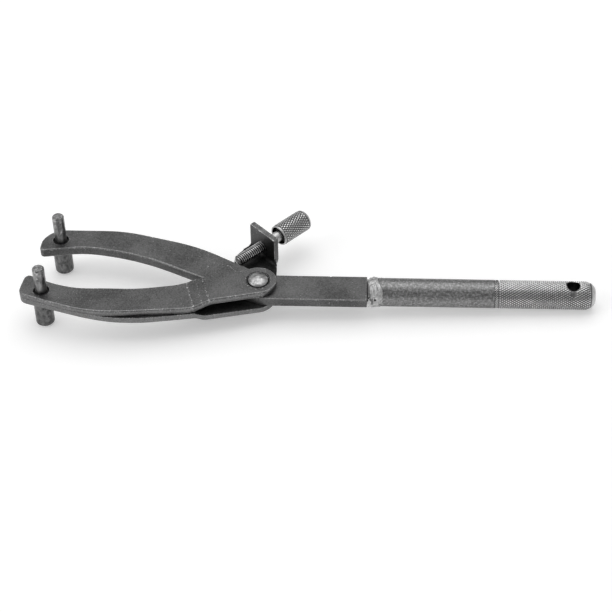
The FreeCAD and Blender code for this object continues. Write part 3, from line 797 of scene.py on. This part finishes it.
def makeGrip(start, knurlEnd, end):
    # the crossed knurl, drawn in along the rounded end, with the plain end cap
    radius = handle["radius"]
    turn, filedReach = handle["filed"]
    filed = onRound(0, turn, radius)

    def smooth(place):
        # the band still stands along Z here: its x is the handle's -z, and its z the handle's x
        return (place.yz.length < (handle["holeRadius"] + handle["holeMargin"]) * mm
                or (place - Vector((-filed.z, filed.y, filed.x))).length < filedReach * mm)

    grip = knurledBand("handleKnurl", dict(handle, start=start, end=knurlEnd, smooth=smooth))
    startEdit(grip, "VERT")
    roundFrom, rows = handle["round"][0][0], handle["roundRows"]
    reach = roundFrom - handle["knurlTo"]
    for row in range(rows):
        upper = roundFrom - reach * row / rows
        lower = upper - reach / rows - (0.05 if row == rows - 1 else 0)
        if pick("VERT", lambda corner: lower * mm <= end * mm - corner.co.z < upper * mm):
            growRound(roundedRadius((upper + lower) / 2) / radius)
    endEdit()
    closeEnd(grip, start, [(radius - 1.2, start)])
    cap = [(roundedRadius(handle["knurlTo"]) - 0.1, knurlEnd + 0.15)]
    cap += [(inner, end - fromEnd) for fromEnd, inner in handle["round"] if fromEnd < handle["knurlTo"]]
    closeEnd(grip, knurlEnd, cap)
    paintFaces(grip, turnedSteel, lambda face: middle(face).z > knurlEnd * mm + hairWidth)
    return grip


def makeHandle():
    low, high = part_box("handle_rod")
    start, end = low.x / mm, high.x / mm
    bandStart = end - handle["knurlFrom"]
    bandEnd = bandStart + handle["firstBand"]
    radius = handle["radius"]
    plain = turnedPiece("handleRod", [(radius, start), (radius, bandStart)], handle["sides"], drawnBar)
    grip = makeGrip(bandEnd, end - handle["knurlTo"], end)
    band = slashedBand("firstBand", dict(handle, start=bandStart, end=bandEnd))
    for part in (plain, grip, band):
        layAlongX(part)
    bore, mouth = handle["holeRadius"], radius + 0.2
    flare, inside = bore + handle["holeFlare"], mouth - handle["holeFlareDepth"]
    # painted shade: the hang hole's wall is painted nearly black
    cutWith(grip, turnedPiece("hangHole", [(flare, -mouth), (bore, -inside), (bore, inside), (flare, mouth)],
                              48, shadeBlack))
    joinParts(plain, grip, band)
    finishPiece(plain, "fixed_jaw", ["handle_rod"], 24, False)


makeHandle()


# the weld between the bar and the handle
weld = {
    # collar round the handle: place along X and radius
    "collar": ((-110.9, 6.2), (-110.4, 7.2), (-109.5, 7.9), (-108.2, 8.2), (-106.9, 8.15), (-105.7, 8.0),
               (-104.6, 7.92), (-103.5, 7.84), (-102.7, 7.6), (-102.0, 7.5)),
    # the weld's root on the bar's end face, a little below the bar's top: opposite corners
    "root": ((-111.7, -8.8, -2.9), (-108.8, 8.8, 1.2)),
    # beads of metal: place along X, turn, distance from the axis and radius
    "beads": ((-110.3, 79, 8.3, 0.75), (-110.4, 108, 7.7, 1.5), (-109.0, 108, 7.5, 1.5),
              (-110.6, 92, 7.9, 1.0), (-110.5, 64, 8.6, 0.45), (-109.6, 250, 7.6, 1.6)),
    "voxel": 0.24,
    "smoothing": 5,
    # ridges and furrows: points (place along X, turn), height and reach
    "ridges": (
        (((-105.7, 2), (-104.6, 22), (-103.7, 45), (-103.2, 60), (-102.9, 74), (-103.2, 87), (-104.8, 96)),
         0.5, 0.7),
        (((-104.6, -60), (-104.6, -30), (-104.5, 6)), -0.45, 1.1),
        (((-103.2, -60), (-103.2, 10), (-102.8, 34)), -0.4, 0.9),
        (((-102.4, 40), (-102.0, 70), (-102.6, 100)), -0.3, 0.6),
        (((-105.0, 48), (-104.6, 60), (-104.6, 76), (-105.6, 88)), 0.3, 0.9),
        (((-106.3, 27), (-105.6, 45), (-105.3, 62)), 0.35, 0.7),
        (((-107.2, 16), (-106.6, 34), (-106.2, 52), (-106.4, 66)), 0.35, 0.7),
        (((-108.2, 20), (-108.0, 40), (-107.9, 60)), 0.4, 0.8),
        (((-109.0, 18), (-109.6, 36), (-109.9, 54)), 0.4, 0.8),
        (((-109.4, 8), (-108.4, 6), (-107.4, 8)), -0.35, 0.6),
        (((-109.3, 17), (-108.4, 15), (-107.4, 18)), -0.35, 0.6),
        (((-108.0, 70), (-108.9, 76), (-108.5, 82), (-109.0, 90), (-108.6, 98)), -0.45, 0.6),
        (((-107.9, 78), (-107.7, 86)), 0.4, 0.6),
    ),
    # where the ridges run: their radius, and how far from its path a ridge is picked
    "ridgeRadius": 8.2,
    "ridgePick": 0.45,
    # the same ridges again round the handle: turn and share of the height
    "copies": ((0, 1.0), (118, 0.5), (236, 0.5)),
    # one gas pit: place along X, turn, distance from the axis and radius
    "pit": (-106.9, 79, 8.4, 0.7),
}


def pathGap(place, path):
    # distance from a place to the nearest stretch of a path
    def stretch(first, second):
        span = second - first
        share = max(0, min(1, (place - first).dot(span) / span.length_squared))
        return (place - first - span * share).length

    return min(stretch(first, second) for first, second in zip(path, path[1:]))


def raiseRidge(points, turn, height, reach):
    # lifts what lies along a path on the collar, or sinks it where the height is below zero
    radius = weld["ridgeRadius"]
    path = [onRound(along, degrees + turn, radius) for along, degrees in points]
    if pick("VERT", lambda corner: pathGap(corner.co, path) < weld["ridgePick"] * mm):
        size = 1 + height / radius
        bpy.ops.transform.resize(value=(1, size, size), center_override=(0, 0, 0), use_proportional_edit=True,
                                 proportional_size=reach * mm, proportional_edit_falloff="SMOOTH")


def makeWeld():
    piece = turnedPiece("weldBead", [(radius, along) for along, radius in weld["collar"]], 48, brushedWeld)
    layAlongX(piece)
    low, high = weld["root"]
    parts = [addShape("weldRoot", bpy.ops.mesh.primitive_cube_add, size=1,
                      location=[(start + end) / 2 * mm for start, end in zip(low, high)],
                      scale=[(end - start) * mm for start, end in zip(low, high)])]
    for along, degrees, distance, size in weld["beads"]:
        parts.append(addBall("bead", onRound(along, degrees, distance), size))
    joinParts(piece, *parts)
    applyModifier(piece, "REMESH", mode="VOXEL", voxel_size=weld["voxel"] * mm)
    applyModifier(piece, "SMOOTH", factor=0.5, iterations=weld["smoothing"])
    startEdit(piece, "VERT")
    for turn, share in weld["copies"]:
        for points, height, reach in weld["ridges"]:
            raiseRidge(points, turn, height * share, reach)
    endEdit()
    along, degrees, distance, size = weld["pit"]
    pit = addBall("pit", onRound(along, degrees, distance), size)
    # painted shade: the gas pit's inside is painted nearly black
    setMaterials(pit, shadeBlack)
    cutWith(piece, pit)
    finishPiece(piece, "fixed_jaw", ["weld_bead"], 60, False)


makeWeld()


# the rivet with its hammered heads
rivet = {
    "sides": 64,
    "shank": 5.2,
    # the head: radius of its seat, height above the leaf's face and depth in the leaf's recess
    "seat": 6.42,
    "head": 2.1,
    "sunk": 0.7,
    # profiles from the leaf's face: radius and height
    "rim": ((6.42, -0.35), (6.35, -0.1), (6.2, 0.0), (6.02, -0.1), (5.92, -0.5), (5.58, -0.55)),
    "dome": ((5.5, 0.05), (5.42, 0.35), (5.1, 0.74), (4.5, 1.12), (3.6, 1.48), (2.6, 1.74), (1.5, 1.9),
             (0.7, 1.95)),
    "crown": 0.3,
    # painted shade, nearly black, lies in the ring between dome and rim, from the first radius to the second
    "shadeRing": (5.5, 5.98),
    # hammer blows: place, reach and depth, at this height
    "blows": ((0.1, -2.6, 1.7, -0.12), (-2.9, -1.2, 2.0, 0.08), (2.5, -1.6, 2.0, 0.08), (0.0, 1.8, 1.5, 0.07),
              (-1.9, 2.2, 1.6, -0.1), (2.4, 1.9, 1.8, -0.12), (0.4, -0.3, 1.2, -0.07)),
    "blowHeight": 1.4,
}


def strikeHead(shape, side, face):
    # the hammer's marks on one head
    for x, y, reach, depth in rivet["blows"]:
        blow = Vector((x, y, side * (face + rivet["blowHeight"]))) * mm
        nearest = min(shape.verts, key=lambda corner: (corner.co - blow).length)
        bpy.ops.mesh.select_all(action="DESELECT")
        nearest.select_set(True)
        bmesh.update_edit_mesh(bpy.context.object.data)
        bpy.ops.transform.translate(value=(0, 0, side * depth * mm), use_proportional_edit=True,
                                    proportional_size=reach * mm, proportional_edit_falloff="SMOOTH")


def makeRivet():
    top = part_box("pivot_rivet")[1].z / mm
    face = top - rivet["head"]
    upper = [(rivet["shank"], face - rivet["sunk"]), (rivet["seat"], face - rivet["sunk"])]
    upper += [(radius, face + height) for radius, height in rivet["rim"] + rivet["dome"]]
    lower = [(radius, -height) for radius, height in reversed(upper)]
    piece = turnedPiece("pivotRivet", lower + upper, rivet["sides"], hammeredSteel)
    setMaterials(piece, hammeredSteel, rubbedEdge, shadeBlack)
    shadeFrom, shadeTo = rivet["shadeRing"]

    def onHead(part, start, end):
        return start * mm < middle(part).xy.length <= end * mm and abs(middle(part).z) > 3 * mm

    startEdit(piece)
    for side in (1, -1):
        pick("FACE", lambda part: len(part.verts) > 20 and part.normal.z * side > 0.5)
        bpy.ops.mesh.inset(thickness=rivet["crown"] * mm)
        bpy.ops.mesh.poke()
    endEdit()
    paintFaces(piece, rubbedEdge, lambda part: onHead(part, shadeTo, rivet["seat"]))
    # painted shade: the ring between dome and rim is painted nearly black
    paintFaces(piece, shadeBlack, lambda part: onHead(part, shadeFrom, shadeTo))
    startEdit(piece, "VERT")
    shape = bmesh.from_edit_mesh(piece.data)
    for side in (1, -1):
        strikeHead(shape, side, face)
    endEdit()
    placePiece(piece, (pivot.x, pivot.y, 0))
    finishPiece(piece, "fixed_jaw", ["pivot_rivet"], 40, False)


makeRivet()


# the two stepped pins
pin = {
    "sides": 64,
    "thin": 3.3,
    "thinHeight": 23.3,
    "thinChamfer": 0.8,
    "seat": 4.38,
    "seatChamfer": 0.25,
    "stub": 5.15,
    "stubChamfer": 1.0,
    "edgeRound": 0.18,
    # how far the seat's painted shade reaches down and the thin end is rubbed beyond its chamfer
    "seatShade": 1.5,
    "rubbedReach": 0.3,
}


def makePin(node, name, body, centre, seatTop):
    low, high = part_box(node)
    top, bottom = high.z / mm, low.z / mm
    shoulder = top - pin["thinHeight"]
    thin, seat, stub = pin["thin"], pin["seat"], pin["stub"]
    thinTop, stubFoot = top - pin["thinChamfer"], bottom + pin["stubChamfer"]
    steps = [(stub - pin["stubChamfer"], bottom), (stub, stubFoot), (stub, shoulder), (seat, shoulder),
             (seat, seatTop - pin["seatChamfer"]), (thin, seatTop), (thin, thinTop),
             (thin - pin["thinChamfer"], top)]
    piece = turnedPiece(name, steps, pin["sides"], oiledPin)
    applyModifier(piece, "BEVEL", width=pin["edgeRound"] * mm, segments=2, limit_method="ANGLE",
                  angle_limit=math.radians(25))
    setMaterials(piece, oiledPin, shadeBlack, shadedStub)
    # painted shade: the seat's top, round the thin part, is painted nearly black
    paintFaces(piece, shadeBlack, lambda face: middle(face).xy.length > (thin + 0.05) * mm
               and middle(face).z > (seatTop - pin["seatShade"]) * mm)
    # painted shade: the thick end below the shoulder takes the darker steel
    paintFaces(piece, shadedStub, lambda face: middle(face).z < shoulder * mm)
    placePiece(piece, (centre.x, centre.y, 0))
    rubbedFrom = (thinTop - pin["rubbedReach"]) * mm
    markWearAndHighlight(piece, lambda place: 1.0 if place.z > rubbedFrom else 0.0)
    finishPiece(piece, body, [node])


makePin("fixed_jaw_pin", "fixedJawPin", "fixed_jaw", fixedPin, seatTop=2.3)
makePin("moving_jaw_pin", "movingJawPin", "moving_jaw", movingPin, seatTop=2.9)


# the adjusting screw and its knob, modelled along Z from the foot of the screw's axis
screw = {
    "sides": 48,
    "radius": 3.175,
    "pitch": 1.27,
    "depth": 0.78,
    "stepsPerTurn": 32,
    # one turn of the thread: share of the depth and of the pitch
    "section": ((0, 0), (0, 0.14), (0.5, 0.31), (1, 0.47), (1, 0.65), (0.5, 0.82), (0, 1)),
    # the rounded tip: radius and distance from the tip's end
    "tipRound": ((1.6, 0), (2.1, 0.1), (2.5, 0.3), (2.8, 0.6), (3.275, 1.1)),
    "tip": 3.7,
    "threadEnd": 25.7,
    "end": 51.75,
    "neck": 3.0,
    # the neck starts as a cone inside the thread: how much thinner, and its ends before the thread's end
    "cone": 0.5,
    "coneFrom": 1.4,
    "coneTo": 0.2,
}
knob = {
    "length": 20.6,
    "radius": 6.1,
    "around": 26,
    "along": 7,
    "depth": 0.28,
    "slope": 0.31,
    # plain rings before and behind the knurl
    "frontRing": 0.9,
    "backRing": 1.7,
    # their rounding: how far inside the knurl's radius and how far from the knob's face
    "frontRound": ((0.05, 0.8), (0.1, 0.35), (0.175, 0.2), (0.4, 0)),
    "backRound": ((0.12, 1.6), (0.35, 0.95), (0.8, 0.4), (1.3, 0.1), (1.8, 0)),
    "recess": 5.2,
    "recessDepth": 1.9,
    "recessRound": (0.15, 0.2),
    # the bore for the screw's neck: gap round it and distance from the back
    "boreGap": 0.03,
    "boreStop": 4,
}


def setOnScrewAxis(piece):
    layAlongX(piece)
    placePiece(piece, screwFoot, (0, 0, screwAxis["turn"]))


def makeThread():
    pitch, root = screw["pitch"], screw["radius"] - screw["depth"]
    tip, threadEnd = screw["tip"], screw["threadEnd"]
    start = tip - 2 * pitch
    turns = math.ceil((threadEnd - start) / pitch) + 1
    section = [(root + depth * screw["depth"], along * pitch) for depth, along in screw["section"]]
    thread = addShape("screwThread", bpy.ops.mesh.primitive_plane_add, size=1 * mm)
    setMaterials(thread, zincPlate, shadeBlack)
    startEdit(thread, "VERT")
    bpy.ops.mesh.merge(type="CENTER")
    bpy.ops.transform.translate(value=(root * mm, 0, start * mm))
    for (r0, z0), (r1, z1) in zip(section, section[1:]):
        bpy.ops.mesh.extrude_vertices_move(
            TRANSFORM_OT_translate={"value": ((r1 - r0) * mm, 0, (z1 - z0) * mm)})
    endEdit()
    applyModifier(thread, "SCREW", axis="Z", angle=math.radians(360), screw_offset=pitch * mm,
                  iterations=turns, steps=screw["stepsPerTurn"], render_steps=screw["stepsPerTurn"],
                  use_merge_vertices=True, merge_threshold=0.001 * mm)
    startEdit(thread, "VERT")
    bpy.ops.mesh.remove_doubles(threshold=0.002 * mm)
    faceOutwards()
    endEdit()
    halfWay = root + screw["depth"] / 2
    # painted shade: the thread's roots, below half its depth, are painted nearly black
    paintFaces(thread, shadeBlack, lambda face: middle(face).xy.length < (halfWay - 0.05) * mm)
    startEdit(thread, "VERT")
    for height, inner, outer in ((tip - 0.5, True, False), (threadEnd, False, True)):
        bpy.ops.mesh.select_all(action="SELECT")
        bpy.ops.mesh.bisect(plane_co=(0, 0, height * mm), plane_no=(0, 0, 1), use_fill=True,
                            clear_inner=inner, clear_outer=outer)
    faceOutwards()
    endEdit()
    return thread


def makeScrew():
    tip, threadEnd, neck = screw["tip"], screw["threadEnd"], screw["neck"]
    thread = makeThread()
    blank = [(radius, tip + height) for radius, height in screw["tipRound"]]
    blank.append((screw["tipRound"][-1][0], threadEnd + 1))
    cutWith(thread, turnedPiece("tipBlank", blank, screw["sides"], zincPlate), "INTERSECT")
    cone = [(neck - screw["cone"], threadEnd - screw["coneFrom"]), (neck, threadEnd - screw["coneTo"])]
    piece = turnedPiece("adjustingScrew", cone + [(neck, screw["end"])], screw["sides"], turnedSteel)
    joinParts(piece, thread)
    setOnScrewAxis(piece)
    finishPiece(piece, "screw", ["adjusting_screw"], 30, False)


def makeKnob():
    radius, recess, length = knob["radius"], knob["recess"], knob["length"]
    front, back = screwAxis["knobMiddle"] - length / 2, screwAxis["knobMiddle"] + length / 2
    bandStart, bandEnd = front + knob["frontRing"], back - knob["backRing"]
    floor = front + knob["recessDepth"]
    bore = screw["neck"] + knob["boreGap"]
    wider, deeper = knob["recessRound"]
    piece = knurledBand("screwKnob", dict(knob, start=bandStart, end=bandEnd))
    face = [(radius - inset, front + height) for inset, height in knob["frontRound"]]
    closeEnd(piece, bandStart, face + [(recess + wider, front), (recess, front + deeper), (recess, floor),
                                       (bore, floor), (bore, back - knob["boreStop"])])
    closeEnd(piece, bandEnd, [(radius - inset, back - height) for inset, height in knob["backRound"]])
    paintFaces(piece, turnedSteel, lambda part: middle(part).z < bandStart * mm - hairWidth
               or middle(part).z > bandEnd * mm + hairWidth)
    # painted shade: the recess in the knob's face is painted nearly black
    paintFaces(piece, shadeBlack, lambda part: middle(part).xy.length < (recess + 0.1) * mm
               and (front + 0.3) * mm < middle(part).z < (back - 2) * mm)
    setOnScrewAxis(piece)
    finishPiece(piece, "knob", ["screw_knob"], 24, False)


makeScrew()
makeKnob()


# the floor, the backdrop and the lights
studio = {
    "floorSize": 8,
    "floorTilt": 2.42,  # the tool rests on its two stubs and the handle's end
    "floorLow": -20.5,
    "floorColour": "#e6e6e6",
    "floorGlow": 0.35,
    "worldLight": 0.55,
    # each light's name, place, size and power, and the place that they face
    "lights": (("skyPanel", (-0.2, 0.5, 1.6), 1.8, 14), ("sidePanel", (-1.5, -0.4, 1.0), 1.0, 5)),
    "lit": (-0.14, 0, 0),
}


def makeFloor():
    # a matt floor that glows for the camera and in mirrors, so that it looks pale and keeps the shadow
    floor = addShape("floor", bpy.ops.mesh.primitive_plane_add, size=studio["floorSize"])
    tilt = math.radians(studio["floorTilt"])
    placePiece(floor, (movingPin.x, 0, studio["floorLow"] * mm), (0, -tilt, 0))
    paint = bpy.data.materials.new("pale floor")
    tree = emptyTree(paint)
    path = addNode(tree, "LightPath")
    seen = path.outputs["Is Camera Ray"]
    for ray in ("Is Glossy Ray", "Is Transmission Ray"):
        seen = addNode(tree, "Math", {"operation": "MAXIMUM"}, {0: seen, 1: path.outputs[ray]})
    level = addNode(tree, "Math", {"operation": "MULTIPLY", 1: studio["floorGlow"]}, {0: seen})
    matt = addNode(tree, "BsdfDiffuse", {"Color": hexColour(studio["floorColour"])})
    glow = addNode(tree, "Emission", {}, {"Strength": level})
    both = addNode(tree, "AddShader", {}, {0: matt, 1: glow})
    addNode(tree, "OutputMaterial", {}, {"Surface": both})
    floor.data.materials.append(paint)


def makeBackdrop():
    # white for the camera and a plain even light for the tool
    world = bpy.data.worlds.new("studio")
    bpy.context.scene.world = world
    tree = emptyTree(world)
    path = addNode(tree, "LightPath")
    plain = addNode(tree, "Background", {"Strength": studio["worldLight"]})
    white = addNode(tree, "Background", {"Color": (1, 1, 1, 1), "Strength": 1.0})
    mix = addNode(tree, "MixShader", {}, {"Fac": path.outputs["Is Camera Ray"], 1: plain, 2: white})
    addNode(tree, "OutputWorld", {}, {"Surface": mix})


def makeLights():
    for name, place, size, power in studio["lights"]:
        light = bpy.data.objects.new(name, bpy.data.lights.new(name, "AREA"))
        light.data.size = size
        light.data.energy = power
        light.location = place
        aim = Vector(studio["lit"]) - Vector(place)
        light.rotation_euler = aim.to_track_quat("-Z", "Y").to_euler()
        bpy.context.collection.objects.link(light)


makeFloor()
makeBackdrop()
makeLights()
print("studio lit")

bpy.context.scene.view_settings.view_transform = "Standard"
